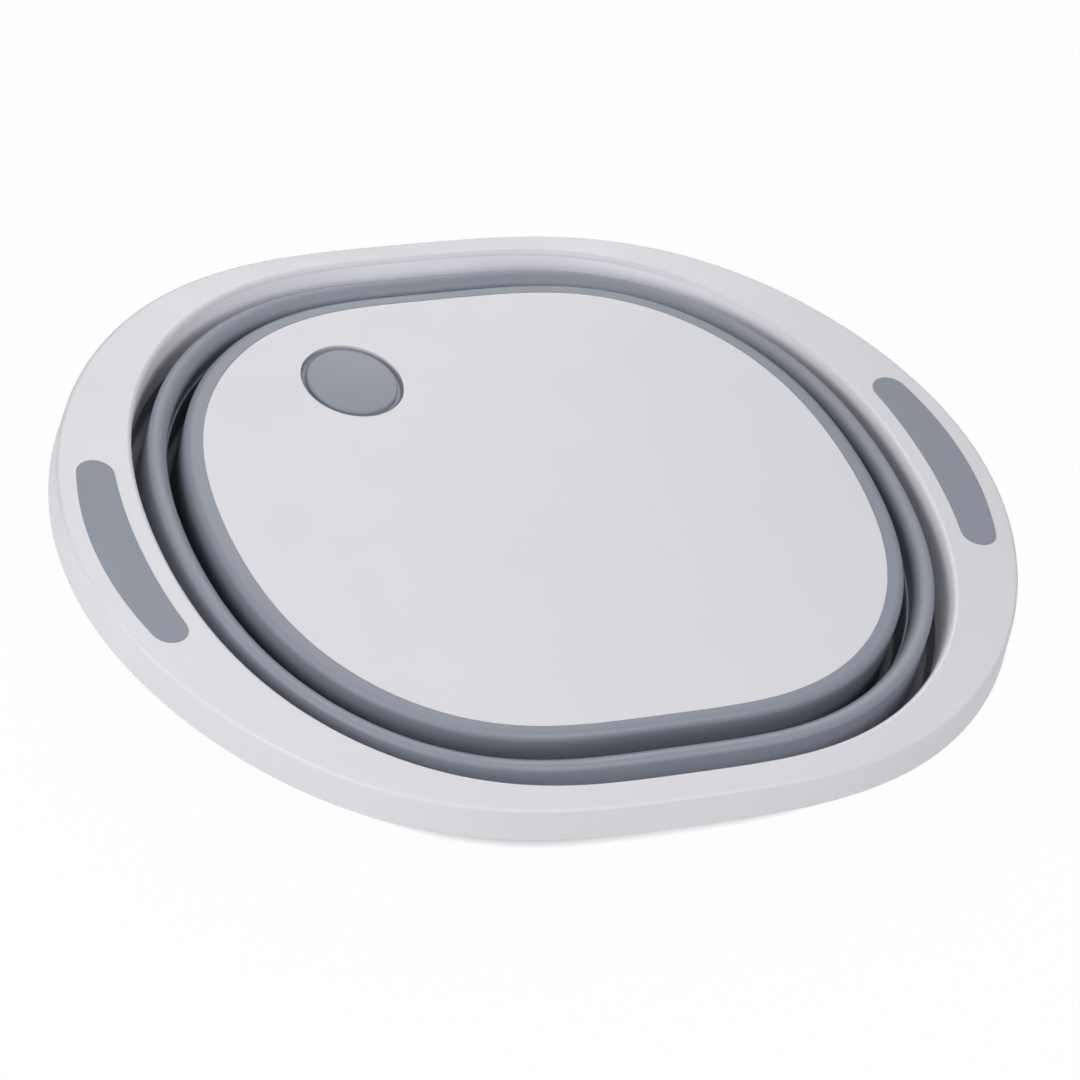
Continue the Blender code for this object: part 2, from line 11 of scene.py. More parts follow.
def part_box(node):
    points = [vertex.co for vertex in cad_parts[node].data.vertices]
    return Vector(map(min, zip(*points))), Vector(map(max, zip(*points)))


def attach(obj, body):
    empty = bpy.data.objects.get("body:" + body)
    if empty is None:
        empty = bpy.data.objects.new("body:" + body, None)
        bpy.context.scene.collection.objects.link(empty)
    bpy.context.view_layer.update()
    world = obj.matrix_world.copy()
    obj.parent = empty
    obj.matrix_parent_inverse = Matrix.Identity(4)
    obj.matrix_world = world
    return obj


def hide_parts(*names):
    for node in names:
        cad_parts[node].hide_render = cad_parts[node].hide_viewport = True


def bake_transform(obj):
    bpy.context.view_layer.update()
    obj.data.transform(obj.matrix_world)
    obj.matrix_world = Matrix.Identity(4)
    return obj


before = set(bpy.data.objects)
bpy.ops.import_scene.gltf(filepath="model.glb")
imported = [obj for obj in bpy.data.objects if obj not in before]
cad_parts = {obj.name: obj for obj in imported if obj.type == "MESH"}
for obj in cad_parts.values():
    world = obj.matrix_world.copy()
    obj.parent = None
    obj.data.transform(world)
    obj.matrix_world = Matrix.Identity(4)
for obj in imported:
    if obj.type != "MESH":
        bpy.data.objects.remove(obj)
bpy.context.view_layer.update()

# Outlines, seen from above, as in the part
OPENING_LENGTH = 0.3182
OPENING_WIDTH = 0.2874
END_FLANGE = 0.0336
SIDE_FLANGE = 0.0120
SKIRT_END_SPREAD = 0.0004
SKIRT_SIDE_SPREAD = 0.0028
OPENING_SHARES = (-0.0309, 0.0030, -0.0020)
RIM_SHARES = (-0.0165, 0.0051, 0.0006)

# Rim frame
RIM_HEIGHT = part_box("rim_frame")[1].z
SKIRT_BOTTOM = RIM_HEIGHT - 0.0145
WALL_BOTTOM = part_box("rim_frame")[0].z
END_DROP = 0.0002
SIDE_DROP = 0.0018
FLANGE_THICKNESS = 0.0024
SKIRT_THICKNESS = 0.0020
EDGE_RADIUS = 0.0016
LIP_RADIUS = 0.0023
WALL_LEAN = 0.0011
WALL_THICKNESS = 0.0020
FOOT_RADIUS = 0.0005
RIB_THICKNESS = 0.0016
RIB_DEPTH = 0.0090
RIB_SPACING = 0.0220
RIB_OVERLAP = 0.0006
RIBS_PER_END = 5

# Grips
GRIP_SPAN = 0.0845
GRIP_INNER_MARGIN = 0.0082
GRIP_OUTER_MARGIN = 0.0077
GRIP_SINK = 0.0010
GRIP_PROUD = 0.0002
GRIP_EDGE_RADIUS = 0.0003
GRIP_FLAT_MARGIN = 0.0009

# Flexible wall
SHEET = 0.0014
SLEEVE_HEIGHT = 0.0095
SLEEVE_EDGE_RADIUS = SHEET / 3
OUTER_LEG = WALL_LEAN + 0.0011
OUTER_RISE = OUTER_LEG + 0.0057
OUTER_MIDDLE = (OUTER_LEG + OUTER_RISE) / 2
FOLD_RADIUS = 0.0011
CREST_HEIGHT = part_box("middle_wall_band")[1].z
CREST_OUTER = OUTER_RISE + 0.0006
CREST_INNER = CREST_OUTER + 0.0078
CREST_OUTER_RADIUS = 0.0020
CREST_INNER_RADIUS = 0.0052
CREST_THICKNESS = 0.0024
CREST_SPLIT = CREST_OUTER + CREST_OUTER_RADIUS
LEDGE_HEIGHT = RIM_HEIGHT - 0.0120
INNER_LEG = CREST_INNER + 0.0010
LEDGE_RADIUS = 0.0004
INNER_RISE = INNER_LEG + 0.0036
INNER_MIDDLE = (INNER_LEG + INNER_RISE) / 2
SHOULDER_OUTER = INNER_RISE + 0.0004
SHOULDER_RADIUS = 0.0030
SHOULDER_SPLIT = SHOULDER_OUTER + SHOULDER_RADIUS
BOARD_EDGE = SHOULDER_OUTER + 0.0055

# How far each face shifts outward at the two ends, from the rim's wall to the board's edge
CREST_END_SHIFT = 0.0022
SHOULDER_END_SHIFT = 0.0019
SHIFT_PLACES = (OUTER_LEG, OUTER_RISE, INNER_LEG, INNER_RISE, SHOULDER_SPLIT, BOARD_EDGE)
SHIFTS = (0.0, CREST_END_SHIFT, CREST_END_SHIFT, SHOULDER_END_SHIFT, SHOULDER_END_SHIFT, 0.0)

# Wrinkles where the soft sheets turn the tight corners. Phases in radians, fades as powers
WRINKLE_DEPTH = 0.00035
WRINKLE_SPACING = 0.0065
WRINKLE_LEAN = 0.22
WRINKLE_SPREAD = math.radians(24)
WRINKLE_CORNER_FADE = 0.7
WRINKLE_EDGE_FADE = 0.6
WRINKLE_UNEVENNESS = 0.3
WRINKLE_UNEVEN_WAVES = 5
WRINKLE_OVERTONE = 0.35
OUTER_FOLD_PHASE = 0.4
MIDDLE_BAND_PHASE = 2.1
INNER_FOLD_PHASE = 4.0

# Base ring and board
BOARD_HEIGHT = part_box("base_board")[1].z
BOARD_THICKNESS = 0.0028
BOARD_EDGE_RADIUS = 0.0004
BOARD_FLAT_MARGIN = 0.0016
RING_LEG = 0.0026
RING_LIP = 0.0020
RING_FOOT = 0.0016
RING_FOOT_WIDTH = 0.0022
RING_SLIT = 0.0004
LEG_RADIUS = 0.0012
BASE_WALL_DEPTH = 0.0090
BASE_WALL_THICKNESS = 0.0022
BASE_RIB_DEPTH = 0.0050
BASE_RIB_THICKNESS = 0.0016
BASE_RIB_SPACING = 0.0480

# Drain and plug
DRAIN_X = OPENING_LENGTH / 2 * -0.3344
DRAIN_Y = OPENING_WIDTH / 2 * 0.5247
PLUG_RADIUS = 0.0202
PLUG_CLEARANCE = 0.0003
PLUG_DISC_RADIUS = 0.0182
PLUG_DISC_PROUD = 0.0001
PLUG_DOME = 0.0009
PLUG_GROOVE_DEPTH = 0.0016
PLUG_GROOVE_SLOPE = 0.0007
PLUG_RIM_DROP = 0.0003
PLUG_FLANGE_THICKNESS = 0.0017
PLUG_EDGE_RADIUS = 0.0009
STEM_RADIUS = 0.0159
STEM_TAPER = 0.0007
STEM_DEPTH = 0.0046
STEM_WALL = 0.0020
DRAIN_SEAT = 0.0020
COLLAR_THICKNESS = 0.0024
COLLAR_DEPTH = 0.0082
OVERRUN = 0.0050

# Counts of points, rows and steps
AROUND = 480
TURNED = 160
CORNER = 6
SMALL_CORNER = 3
RIM_EDGE_STEPS = 8
BOARD_EDGE_STEPS = 5
GRIP_SIDE_STEPS = 40
GRIP_END_STEPS = 16
GRIP_EDGE_ROWS = 5
SHEET_ROWS = 10
DOME_ROWS = 12
FACE_SHARES = (0.25, 0.5, 0.75)

# Smooth shading
SHARP_ANGLE = math.radians(35)
FLAT_FACE_WEIGHT = 100

# Camera, fitted to the ovals in the photograph
PHOTO_PIXELS = 1080
FOCAL_PIXELS = 5307.0
CAMERA_ELEVATION = math.radians(41.01)
CAMERA_YAW = math.radians(34.03)
CAMERA_ROLL = math.radians(17.31)
CAMERA_DISTANCE = 2.0377
CAMERA_ACROSS = 0.00265
CAMERA_DOWN = -0.01415
SENSOR_WIDTH = 36.0

# Lamps: azimuth and elevation in degrees, power in watts, colour
LAMP_DISTANCE = 1.2
LAMP_SIZE = 0.6
LAMPS = {
    "back": (66, 30, 4.6, (0.98, 1.0, 1.0)),
    "left": (212, 28, 4.7, (1.0, 0.99, 1.0)),
    "far_left": (172, 24, 3.4, (1.0, 1.0, 1.0)),
    "right": (294, 50, 6.3, (1.0, 0.99, 1.01)),
    "top": (236, 86, 1.4, (1.0, 1.0, 1.0)),
}
GLINT = (96, 56, 2.0, (1.0, 1.0, 1.0))
GLINT_SIZE = 0.4

# Studio round the object, and the soft shadow on the floor close under the rim
STUDIO_LIGHT = 0.12
BACKDROP = 1.0
FLOOR_REACH = 3.0
FLOOR_TONE = 0.85
FLOOR_ROUGHNESS = 0.7
FLOOR_SPECULAR = 0.2
FLOOR_GLOW = 0.97
SHADOW_REACH = 0.0035
SHADOW_LEVEL = 0.45
SHADOW_SAMPLES = 16

# Finishes
WHITE_LOOK = {
    "colour": (0.70, 0.695, 0.73, 1.0),
    "mottle": 0.006,
    "grain_size": 0.0007,
    "grain_depth": 0.000006,
    "refraction": 1.49,
}
GREY_LOOK = {
    "colour": (0.256, 0.279, 0.325, 1.0),
    "mottle": 0.012,
    "grain_size": 0.0005,
    "grain_depth": 0.000012,
    "refraction": 1.42,
}
RIM_ROUGHNESS = 0.42
BOARD_ROUGHNESS = 0.45
GRIP_ROUGHNESS = 0.55
WALL_ROUGHNESS = 0.46
PLUG_ROUGHNESS = 0.48
CLOUD_SIZE = 0.05
CLOUD_DETAIL = 3
GLOSS_SIZE = 0.02
GLOSS_DETAIL = 4
GLOSS_SPREAD = 0.08
GRAIN_DETAIL = 2
GRAIN_ROUGHNESS = 0.6
NOISE_SPAN = (0.3, 0.7)

# The rim's inner wall: how squarely a face looks inward, gains of painted light, and depths below
# the rim of a warm painted shade
INWARD_SPAN = (-0.92, -0.99)
END_PAINTED_LIGHT_GAIN = 1.22
SIDE_PAINTED_LIGHT_GAIN = 1.58
WARM_SHADE_START = 0.007
WARM_SHADE_END = 0.016
WARM_SHADE_TINT = (1.0, 0.95, 0.92)

# Painted light and painted shade on the folded sheets, by the share of a piece's own height
FOLD_PAINTED_LIGHT_SPAN = (0.55, 0.15)
FOLD_PAINTED_LIGHT_TINT = (1.22, 1.14, 1.10)
SHEET_EDGE_SPANS = ((0.05, 0.45), (0.97, 0.76))
SHEET_MIDDLE_SHADE = 0.62


# Outlines and rings of points

ANGLES = np.linspace(0.0, 2 * np.pi, AROUND, endpoint=False)
END_SHARE = (1 + np.cos(2 * ANGLES)) / 2
EDGE_HEIGHT = RIM_HEIGHT - END_DROP * END_SHARE - SIDE_DROP * (1 - END_SHARE)


def oval(outline, inset=0.0):
    """Points of a rounded oval, moved inward at right angles to it."""
    half_length, half_width, shares = outline
    mean = (half_length + half_width) / 2
    waves = [0.0, 0.0] + [mean * share for share in shares]
    waves[0] = mean - waves[2] - waves[4]
    waves[1] = (half_length - half_width) / 2 - waves[3]
    radius = sum(size * np.cos(2 * order * ANGLES) for order, size in enumerate(waves))
    growth = sum(-2 * order * size * np.sin(2 * order * ANGLES) for order, size in enumerate(waves))
    ray = np.stack([np.cos(ANGLES), np.sin(ANGLES)], 1)
    turn = np.stack([-np.sin(ANGLES), np.cos(ANGLES)], 1)
    along = growth[:, None] * ray + radius[:, None] * turn
    along /= np.linalg.norm(along, axis=1, keepdims=True)
    inward = np.stack([-along[:, 1], along[:, 0]], 1)
    return radius[:, None] * ray + inward * np.reshape(inset, (-1, 1))


def ring(outline, inset, height):
    """A ring of points round an outline."""
    flat = oval(outline, inset)
    return np.column_stack([flat, np.full(len(flat), height)])


def wall_ring(inset, height, wave=0.0):
    """A ring round a face of the flexible wall or the base, further out at the two ends."""
    shift = np.interp(inset, SHIFT_PLACES, SHIFTS)
    return ring(OPENING, inset - shift * END_SHARE + wave, height)


OPENING = (OPENING_LENGTH / 2, OPENING_WIDTH / 2, OPENING_SHARES)
RIM = (OPENING_LENGTH / 2 + END_FLANGE, OPENING_WIDTH / 2 + SIDE_FLANGE, RIM_SHARES)
SKIRT = (RIM[0] + SKIRT_END_SPREAD, RIM[1] + SKIRT_SIDE_SPREAD, RIM_SHARES)


# Meshes

def add_object(name, mesh):
    thing = bpy.data.objects.new(name, mesh)
    bpy.context.scene.collection.objects.link(thing)
    return thing


def skin(name, rings, capped=False):
    """A surface through rings of points, closed on itself or capped at both ends."""
    count = len(rings[0])
    points = np.concatenate(rings)
    last = len(rings) if not capped else len(rings) - 1
    faces = []
    for row in range(last):
        low = row * count
        high = (row + 1) % len(rings) * count
        for here in range(count):
            there = (here + 1) % count
            faces.append((low + here, low + there, high + there, high + here))
    if capped:
        faces.append(tuple(range(count)))
        faces.append(tuple(range((len(rings) - 1) * count, len(rings) * count)))
    mesh = bpy.data.meshes.new(name)
    mesh.from_pydata(points.tolist(), [], faces)
    work = bmesh.new()
    work.from_mesh(mesh)
    bmesh.ops.recalc_face_normals(work, faces=work.faces)
    work.to_mesh(mesh)
    work.free()
    return add_object(name, mesh)


def rounded(corners, steps=CORNER):
    """Points of a closed section. Each corner is (inset, height, radius)."""
    points = []
    for index, (across, up, radius) in enumerate(corners):
        here = Vector((across, up))
        if not radius:
            points.append((across, up))
            continue
        before = (Vector(corners[index - 1][:2]) - here).normalized()
        after = (Vector(corners[(index + 1) % len(corners)][:2]) - here).normalized()
        half = before.angle(after) / 2
        reach = radius / math.tan(half)
        centre = here + (before + after).normalized() * (radius / math.sin(half))
        start = here + before * reach - centre
        finish = here + after * reach - centre
        sweep = start.angle_signed(finish)
        for step in range(steps + 1):
            turned = start.copy()
            turned.rotate(Matrix.Rotation(-sweep * step / steps, 2))
            points.append(tuple(centre + turned))
    return points


def band(name, corners, wrinkle=None):
    """A rounded section run round the opening. A wrinkle moves its points in and out."""
    rings = []
    for across, up in rounded(corners):
        wave = 0.0 if wrinkle is None else wrinkle(up)
        rings.append(wall_ring(across, up, wave))
    return skin(name, rings)


def shade(thing):
    thing.data.shade_smooth()
    thing.data.set_sharp_from_angle(angle=SHARP_ANGLE)


def weigh_normals(thing):
    """Keeps large flat faces flat beside their small rounded edges."""
    modifier = thing.modifiers.new("flat faces", "WEIGHTED_NORMAL")
    modifier.keep_sharp = True
    modifier.weight = FLAT_FACE_WEIGHT


def cut(thing, tool, operation="DIFFERENCE"):
    modifier = thing.modifiers.new("cut", "BOOLEAN")
    modifier.operation = operation
    modifier.solver = "EXACT"
    modifier.object = tool
    bpy.context.view_layer.update()
    shaped = thing.evaluated_get(bpy.context.evaluated_depsgraph_get())
    mesh = bpy.data.meshes.new_from_object(shaped)
    thing.modifiers.clear()
    thing.data = mesh
    bpy.data.objects.remove(tool, do_unlink=True)


def drain_cylinder(radius, low, high):
    """An upright cylinder on the drain's axis."""
    mesh = bpy.data.meshes.new("cutter")
    work = bmesh.new()
    bmesh.ops.create_cone(
        work, cap_ends=True, segments=TURNED, radius1=radius, radius2=radius, depth=high - low
    )
    work.to_mesh(mesh)
    work.free()
    solid = add_object("cutter", mesh)
    solid.location = (DRAIN_X, DRAIN_Y, (low + high) / 2)
    return solid


def box(length, width, height):
    mesh = bpy.data.meshes.new("box")
    work = bmesh.new()
    bmesh.ops.create_cube(work, size=1.0)
    scale = Matrix.Diagonal((length, width, height, 1.0))
    bmesh.ops.transform(work, matrix=scale, verts=work.verts)
    work.to_mesh(mesh)
    work.free()
    return add_object("box", mesh)


def dress(thing, material, body, node):
    """Gives a finished piece its material and body, and hides the solid that it stands for."""
    thing.data.materials.clear()
    thing.data.materials.append(material)
    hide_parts(node)
    if body is not None:
        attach(thing, body)


# Materials

def add_node(tree, kind, **values):
    node = tree.nodes.new(kind)
    for name, value in values.items():
        setattr(node, name, value)
    return node


def link(tree, source, target):
    tree.links.new(source, target)


def coordinate(tree, kind):
    return add_node(tree, "ShaderNodeTexCoord").outputs[kind]


def axis(tree, vector, name):
    """One part of a vector: X, Y or Z."""
    parts = add_node(tree, "ShaderNodeSeparateXYZ")
    link(tree, vector, parts.inputs["Vector"])
    return parts.outputs[name]


def combine(tree, operation, first, second):
    """Two values joined by a maths operation."""
    node = add_node(tree, "ShaderNodeMath", operation=operation)
    link(tree, first, node.inputs[0])
    link(tree, second, node.inputs[1])
    return node.outputs[0]


def ramp(tree, value, span, levels):
    """Maps a value from a span to a pair of levels, and holds it there outside the span."""
    node = add_node(tree, "ShaderNodeMapRange")
    for name, number in zip(("From Min", "From Max", "To Min", "To Max"), span + levels):
        node.inputs[name].default_value = number
    link(tree, value, node.inputs["Value"])
    return node.outputs["Result"]


def noise(tree, size, detail, roughness=0.5):
    node = add_node(tree, "ShaderNodeTexNoise")
    node.inputs["Scale"].default_value = 1 / size
    node.inputs["Detail"].default_value = detail
    node.inputs["Roughness"].default_value = roughness
    link(tree, coordinate(tree, "Object"), node.inputs["Vector"])
    return node.outputs["Fac"]


def moulded(name, roughness, colour, mottle, grain_size, grain_depth, refraction):
    """Moulded plastic or rubber: faint clouds of tone, uneven gloss and a fine grain."""
    material = bpy.data.materials.new(name)
    material.use_nodes = True
    material.diffuse_color = colour
    tree = material.node_tree
    shader = tree.nodes["Principled BSDF"]
    shader.inputs["IOR"].default_value = refraction
    clouds = noise(tree, CLOUD_SIZE, CLOUD_DETAIL)
    tone = add_node(tree, "ShaderNodeHueSaturation")
    tone.inputs["Color"].default_value = colour
    link(tree, ramp(tree, clouds, NOISE_SPAN, (1 - mottle, 1 + mottle)), tone.inputs["Value"])
    link(tree, tone.outputs["Color"], shader.inputs["Base Color"])
    gloss = noise(tree, GLOSS_SIZE, GLOSS_DETAIL)
    levels = (roughness * (1 - GLOSS_SPREAD), roughness * (1 + GLOSS_SPREAD))
    link(tree, ramp(tree, gloss, NOISE_SPAN, levels), shader.inputs["Roughness"])
    grain = noise(tree, grain_size, GRAIN_DETAIL, GRAIN_ROUGHNESS)
    bump = add_node(tree, "ShaderNodeBump")
    bump.inputs["Strength"].default_value = 1.0
    bump.inputs["Distance"].default_value = grain_depth
    link(tree, grain, bump.inputs["Height"])
    link(tree, bump.outputs["Normal"], shader.inputs["Normal"])
    return material


def white_plastic(name, roughness):
    return moulded(name, roughness, **WHITE_LOOK)


def grey_rubber(name, roughness):
    return moulded(name, roughness, **GREY_LOOK)


def multiply_tone(tree, factor):
    """Scales the brightness of a material's colour by a factor."""
    colour = tree.nodes["Principled BSDF"].inputs["Base Color"]
    toned = add_node(tree, "ShaderNodeHueSaturation")
    link(tree, colour.links[0].from_socket, toned.inputs["Color"])
    link(tree, factor, toned.inputs["Value"])
    link(tree, toned.outputs["Color"], colour)


def multiply_tint(tree, share, tint):
    """Tints a material's colour by a share."""
    colour = tree.nodes["Principled BSDF"].inputs["Base Color"]
    mix = add_node(tree, "ShaderNodeMixRGB", blend_type="MULTIPLY")
    mix.inputs["Color2"].default_value = (*tint, 1.0)
    link(tree, share, mix.inputs["Fac"])
    link(tree, colour.links[0].from_socket, mix.inputs["Color1"])
    link(tree, mix.outputs["Color"], colour)


def painted_light_inner_wall(material):
    """Painted light on the thin wall round the opening: its inward faces are made paler than the
    flange, standing in for light let through the wall.

    Less so at the two ends, where ribs and grips lie behind it. Low down the wall gets a warm
    painted shade.
    """
    tree = material.node_tree
    place = coordinate(tree, "Object")
    flat = add_node(tree, "ShaderNodeVectorMath", operation="MULTIPLY")
    flat.inputs[1].default_value = (1.0, 1.0, 0.0)
    link(tree, place, flat.inputs[0])
    outward = add_node(tree, "ShaderNodeVectorMath", operation="NORMALIZE")
    link(tree, flat.outputs["Vector"], outward.inputs[0])
    facing = add_node(tree, "ShaderNodeVectorMath", operation="DOT_PRODUCT")
    link(tree, outward.outputs["Vector"], facing.inputs[0])
    link(tree, coordinate(tree, "Normal"), facing.inputs[1])
    # Painted light: faces that look squarely inward are made paler, more at the sides than at the
    # ends
    inward = ramp(tree, facing.outputs["Value"], INWARD_SPAN, (0.0, 1.0))
    across = axis(tree, outward.outputs["Vector"], "Y")
    side_share = combine(tree, "MULTIPLY", across, across)
    gain = ramp(tree, side_share, (0.0, 1.0), (END_PAINTED_LIGHT_GAIN, SIDE_PAINTED_LIGHT_GAIN))
    tone = ramp(tree, inward, (0.0, 1.0), (1.0, SIDE_PAINTED_LIGHT_GAIN))
    link(tree, gain, tone.node.inputs["To Max"])
    multiply_tone(tree, tone)
    # A warm painted shade low on the inner wall, below the rim
    depths = (RIM_HEIGHT - WARM_SHADE_START, RIM_HEIGHT - WARM_SHADE_END)
    low = ramp(tree, axis(tree, place, "Z"), depths, (0.0, 1.0))
    multiply_tint(tree, combine(tree, "MULTIPLY", inward, low), WARM_SHADE_TINT)


def painted_light_fold(material):
    """Painted light: towards the bottom of its fold, a sheet is made a little paler and warmer."""
    tree = material.node_tree
    height = axis(tree, coordinate(tree, "Generated"), "Z")
    multiply_tint(tree, ramp(tree, height, FOLD_PAINTED_LIGHT_SPAN, (0.0, 1.0)), FOLD_PAINTED_LIGHT_TINT)


def painted_shade_middle(material):
    """Painted shade: a folded sheet is made a little darker in its middle than at its two edges."""
    tree = material.node_tree
    height = axis(tree, coordinate(tree, "Generated"), "Z")
    levels = (1.0, SHEET_MIDDLE_SHADE)
    edges = [ramp(tree, height, span, levels) for span in SHEET_EDGE_SPANS]
    multiply_tone(tree, combine(tree, "MAXIMUM", *edges))


# Rim and grips

def build_rim(material):
    lip_bottom = RIM_HEIGHT - LIP_RADIUS
    rings = []
    for across, up in arc((-LIP_RADIUS, lip_bottom), LIP_RADIUS, 90, 0):
        rings.append(ring(OPENING, across, up))
    for share in (*FACE_SHARES, 1.0):
        level = lip_bottom + (WALL_BOTTOM - lip_bottom) * share
        rings.append(ring(OPENING, WALL_LEAN * share, level))
    rings.append(ring(OPENING, WALL_LEAN - WALL_THICKNESS, WALL_BOTTOM))
    rings.append(ring(OPENING, -WALL_THICKNESS, RIM_HEIGHT - FLANGE_THICKNESS))
    rings.append(ring(RIM, SKIRT_THICKNESS, EDGE_HEIGHT - FLANGE_THICKNESS))
    rings.append(ring(SKIRT, SKIRT_THICKNESS, SKIRT_BOTTOM))
    foot = (FOOT_RADIUS, SKIRT_BOTTOM + FOOT_RADIUS)
    for across, up in arc(foot, FOOT_RADIUS, 270, 180, SMALL_CORNER):
        rings.append(ring(SKIRT, across, up))
    for share in FACE_SHARES:
        levels = SKIRT_BOTTOM + (EDGE_HEIGHT - EDGE_RADIUS - SKIRT_BOTTOM) * share
        flat = oval(SKIRT) * (1 - share) + oval(RIM) * share
        rings.append(np.column_stack([flat, levels]))
    for across, up in arc((EDGE_RADIUS, -EDGE_RADIUS), EDGE_RADIUS, 180, 90, RIM_EDGE_STEPS):
        rings.append(ring(RIM, across, EDGE_HEIGHT + up))
    rim = skin("rim_shell", rings)
    for side in (-1, 1):
        for index in range(RIBS_PER_END):
            cut(rim, rim_rib(side, index), "UNION")
    shade(rim)
    weigh_normals(rim)
    dress(rim, material, "rim", "rim_frame")


def arc(centre, radius, start, end, steps=CORNER):
    """Points of an arc in a section, angles in degrees from inward towards up."""
    angles = np.radians(np.linspace(start, end, steps + 1))
    return [(centre[0] + radius * math.cos(a), centre[1] + radius * math.sin(a)) for a in angles]


def rim_rib(side, index):
    across = (index - (RIBS_PER_END - 1) / 2) * RIB_SPACING
    place = round(math.asin(across / (OPENING_LENGTH / 2)) / (2 * math.pi) * AROUND) % AROUND
    inner = Vector(oval(OPENING, -RIB_OVERLAP)[place])
    outer = Vector(oval(RIM, SKIRT_THICKNESS / 2)[place])
    along = outer - inner
    top = RIM_HEIGHT - END_DROP - FLANGE_THICKNESS / 2
    bottom = RIM_HEIGHT - FLANGE_THICKNESS - RIB_DEPTH
    rib = box(along.length, RIB_THICKNESS, top - bottom)
    middle = (inner + outer) / 2
    rib.location = (middle.x * side, middle.y, (top + bottom) / 2)
    rib.rotation_euler.z = math.atan2(along.y, along.x * side)
    return rib


def grip_outline():
    """A bent stadium between the opening and the rim's outer edge."""
    reach = (OPENING[0] + GRIP_INNER_MARGIN + RIM[0] - GRIP_OUTER_MARGIN) / 2
    half_angle = math.asin(GRIP_SPAN / 2 / reach)
    angles = np.linspace(-half_angle, half_angle, GRIP_SIDE_STEPS)
    outer = oval(RIM, GRIP_OUTER_MARGIN)
    inner = oval(OPENING, -GRIP_INNER_MARGIN)
    points = [outline_point(outer, angle) for angle in angles]
    points += round_end(points[-1], outline_point(inner, half_angle))
    points += [outline_point(inner, angle) for angle in reversed(angles)]
    points += round_end(points[-1], points[0])
    return points


def round_end(start, finish):
    """Points of a half circle between two points, turning to the left."""
    centre = (start + finish) / 2
    return [
        centre + Matrix.Rotation(math.pi * step / GRIP_END_STEPS, 2) @ (start - centre)
        for step in range(1, GRIP_END_STEPS)
    ]


def outline_point(flat, angle):
    """One point of an outline, read between the sampled ones."""
    place = angle / (2 * math.pi) * AROUND
    low = math.floor(place)
    share = place - low
    return Vector(flat[low % AROUND] * (1 - share) + flat[(low + 1) % AROUND] * share)


def build_grip(name, side, material, node):
    slope = math.atan(END_DROP / END_FLANGE)
    pivot = Vector((OPENING_LENGTH / 2, 0.0))
    outline = np.array([point - pivot for point in grip_outline()])
    reach = GRIP_EDGE_RADIUS
    rows = [(0.0, -GRIP_SINK)]
    for angle in np.linspace(0, math.pi / 2, GRIP_EDGE_ROWS):
        rise = GRIP_PROUD - reach + reach * math.sin(angle)
        rows.append((reach - reach * math.cos(angle), rise))
    rows.append((GRIP_FLAT_MARGIN, GRIP_PROUD))
    inward = inward_normals(outline)
    rings = []
    for inset, up in rows:
        rings.append(np.column_stack([outline + inward * inset, np.full(len(outline), up)]))
    grip = skin(name, rings, capped=True)
    grip.data.transform(Matrix.Rotation(slope, 4, "Y"))
    grip.data.transform(Matrix.Translation((pivot.x, pivot.y, RIM_HEIGHT)))
    if side < 0:
        grip.data.transform(Matrix.Rotation(math.pi, 4, "Z"))
    shade(grip)
    weigh_normals(grip)
    dress(grip, material, "rim", node)


def inward_normals(outline):
    """Unit vectors at right angles to a closed outline, towards its inside."""
    along = np.roll(outline, -1, 0) - np.roll(outline, 1, 0)
    along /= np.linalg.norm(along, axis=1, keepdims=True)
    return np.stack([-along[:, 1], along[:, 0]], 1)


# Flexible wall

def corner_share():
    """How much each direction belongs to one of the oval's four tight corners."""
    nearest = np.abs((ANGLES % (np.pi / 2)) - np.pi / 4)
    return np.clip(1 - nearest / WRINKLE_SPREAD, 0.0, 1.0) ** WRINKLE_CORNER_FADE


def wrinkles(low, high, phase):
    """Buckles of a soft sheet at the tight corners, leaning, and fading at both its edges."""
    flat = oval(OPENING, OUTER_RISE)
    steps = np.linalg.norm(np.roll(flat, -1, 0) - flat, axis=1)
    distance = np.concatenate([[0.0], np.cumsum(steps)[:-1]])
    turns = round(steps.sum() / WRINKLE_SPACING)
    spacing = steps.sum() / turns

    def wrinkle(height):
        share = min(max((height - low) / (high - low), 0.0), 1.0)
        fade = math.sin(math.pi * share) ** WRINKLE_EDGE_FADE
        turn = 2 * np.pi * (distance + WRINKLE_LEAN * (height - low)) / spacing + phase
        slow = np.sin(turn * WRINKLE_UNEVEN_WAVES / turns + 2 * phase)
        uneven = 1 - WRINKLE_UNEVENNESS + WRINKLE_UNEVENNESS * slow
        wave = np.sin(turn) + WRINKLE_OVERTONE * np.sin(turn * 2 + phase)
        return WRINKLE_DEPTH * fade * corner_share() * uneven * wave

    return wrinkle


def build_upper_band(material):
    back = WALL_LEAN - WALL_THICKNESS
    rise = SLEEVE_HEIGHT * WALL_LEAN / (RIM_HEIGHT - WALL_BOTTOM)
    corners = [
        (WALL_LEAN, WALL_BOTTOM, 0),
        (OUTER_LEG, SHEET, FOLD_RADIUS),
        (OUTER_MIDDLE, SHEET, 0),
        (OUTER_MIDDLE, 0, 0),
        (OUTER_LEG - SHEET, 0, FOLD_RADIUS + SHEET),
        (back - SHEET, WALL_BOTTOM, SHEET),
        (back - SHEET - rise, WALL_BOTTOM + SLEEVE_HEIGHT, SLEEVE_EDGE_RADIUS),
        (back - rise, WALL_BOTTOM + SLEEVE_HEIGHT, SLEEVE_EDGE_RADIUS),
        (back, WALL_BOTTOM, 0),
    ]
    piece = band("upper_wall", corners)
    shade(piece)
    dress(piece, material, "rim", "upper_wall_band")


